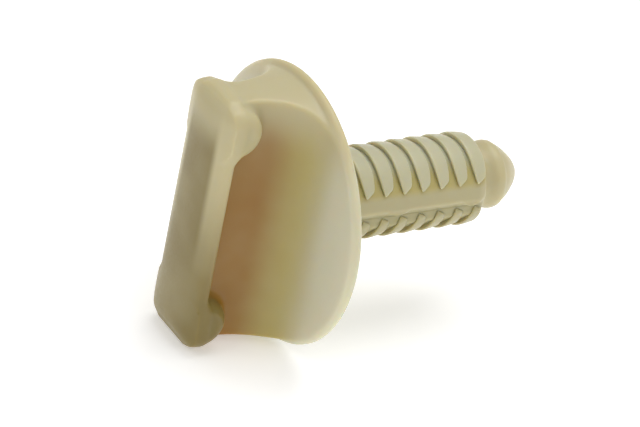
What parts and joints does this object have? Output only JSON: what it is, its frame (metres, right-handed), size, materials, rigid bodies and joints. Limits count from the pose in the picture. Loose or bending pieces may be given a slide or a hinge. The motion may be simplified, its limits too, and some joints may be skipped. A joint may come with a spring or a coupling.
{
  "type": "wall anchor",
  "caption": "Push-in nylon wall anchor: barbed shank with a blunt cone nose, round flange, and a T-shaped head on a flat neck that a keyhole or T-slot hooks over.",
  "frame": {"origin": "centre of the flange's wall-side face, on the shank's axis", "axes": "+X along the shank, into the wall, towards the nose; +Z along the head bar, up; +Y across the bar"},
  "size_m": [0.0398, 0.0294, 0.0294],
  "materials": {
    "nylon_thick": "satin, translucent natural nylon",
    "nylon_thin": "satin, translucent natural nylon"
  },
  "bodies": {
    "anchor": {"head_bar": "nylon_thick", "nub_upper_left": "nylon_thin", "nub_upper_right": "nylon_thin", "nub_lower_left": "nylon_thin", "nub_lower_right": "nylon_thin", "neck_web": "nylon_thick", "flange_disc": "nylon_thin", "shank_core": "nylon_thick", "nose_tip": "nylon_thick"},
    "upper_barb_1": {"upper_barb_1": "nylon_thin"},
    "lower_barb_1": {"lower_barb_1": "nylon_thin"},
    "upper_barb_2": {"upper_barb_2": "nylon_thin"},
    "lower_barb_2": {"lower_barb_2": "nylon_thin"},
    "upper_barb_3": {"upper_barb_3": "nylon_thin"},
    "lower_barb_3": {"lower_barb_3": "nylon_thin"},
    "upper_barb_4": {"upper_barb_4": "nylon_thin"},
    "lower_barb_4": {"lower_barb_4": "nylon_thin"},
    "upper_barb_5": {"upper_barb_5": "nylon_thin"},
    "lower_barb_5": {"lower_barb_5": "nylon_thin"},
    "upper_barb_6": {"upper_barb_6": "nylon_thin"},
    "lower_barb_6": {"lower_barb_6": "nylon_thin"},
    "upper_barb_7": {"upper_barb_7": "nylon_thin"},
    "lower_barb_7": {"lower_barb_7": "nylon_thin"}
  },
  "joints": [
    {"name": "upper_barb_1_flex", "type": "hinge", "parent": "anchor", "child": "upper_barb_1", "pos_m": [0.0065, 0, 0.002], "axis": [0, -1, 0], "range_deg": [0, 8], "stiffness_Nm_per_rad": 0.01},
    {"name": "lower_barb_1_flex", "type": "hinge", "parent": "anchor", "child": "lower_barb_1", "pos_m": [0.0065, 0, -0.002], "axis": [0, 1, 0], "range_deg": [0, 8], "stiffness_Nm_per_rad": 0.01},
    {"name": "upper_barb_2_flex", "type": "hinge", "parent": "anchor", "child": "upper_barb_2", "pos_m": [0.00875, 0, 0.002], "axis": [0, -1, 0], "range_deg": [0, 8], "stiffness_Nm_per_rad": 0.01},
    {"name": "lower_barb_2_flex", "type": "hinge", "parent": "anchor", "child": "lower_barb_2", "pos_m": [0.00875, 0, -0.002], "axis": [0, 1, 0], "range_deg": [0, 8], "stiffness_Nm_per_rad": 0.01},
    {"name": "upper_barb_3_flex", "type": "hinge", "parent": "anchor", "child": "upper_barb_3", "pos_m": [0.011, 0, 0.002], "axis": [0, -1, 0], "range_deg": [0, 8], "stiffness_Nm_per_rad": 0.01},
    {"name": "lower_barb_3_flex", "type": "hinge", "parent": "anchor", "child": "lower_barb_3", "pos_m": [0.011, 0, -0.002], "axis": [0, 1, 0], "range_deg": [0, 8], "stiffness_Nm_per_rad": 0.01},
    {"name": "upper_barb_4_flex", "type": "hinge", "parent": "anchor", "child": "upper_barb_4", "pos_m": [0.01325, 0, 0.002], "axis": [0, -1, 0], "range_deg": [0, 8], "stiffness_Nm_per_rad": 0.01},
    {"name": "lower_barb_4_flex", "type": "hinge", "parent": "anchor", "child": "lower_barb_4", "pos_m": [0.01325, 0, -0.002], "axis": [0, 1, 0], "range_deg": [0, 8], "stiffness_Nm_per_rad": 0.01},
    {"name": "upper_barb_5_flex", "type": "hinge", "parent": "anchor", "child": "upper_barb_5", "pos_m": [0.0155, 0, 0.002], "axis": [0, -1, 0], "range_deg": [0, 8], "stiffness_Nm_per_rad": 0.01},
    {"name": "lower_barb_5_flex", "type": "hinge", "parent": "anchor", "child": "lower_barb_5", "pos_m": [0.0155, 0, -0.002], "axis": [0, 1, 0], "range_deg": [0, 8], "stiffness_Nm_per_rad": 0.01},
    {"name": "upper_barb_6_flex", "type": "hinge", "parent": "anchor", "child": "upper_barb_6", "pos_m": [0.01775, 0, 0.002], "axis": [0, -1, 0], "range_deg": [0, 8], "stiffness_Nm_per_rad": 0.01},
    {"name": "lower_barb_6_flex", "type": "hinge", "parent": "anchor", "child": "lower_barb_6", "pos_m": [0.01775, 0, -0.002], "axis": [0, 1, 0], "range_deg": [0, 8], "stiffness_Nm_per_rad": 0.01},
    {"name": "upper_barb_7_flex", "type": "hinge", "parent": "anchor", "child": "upper_barb_7", "pos_m": [0.02, 0, 0.002], "axis": [0, -1, 0], "range_deg": [0, 8], "stiffness_Nm_per_rad": 0.01},
    {"name": "lower_barb_7_flex", "type": "hinge", "parent": "anchor", "child": "lower_barb_7", "pos_m": [0.02, 0, -0.002], "axis": [0, 1, 0], "range_deg": [0, 8], "stiffness_Nm_per_rad": 0.01}
  ]
}
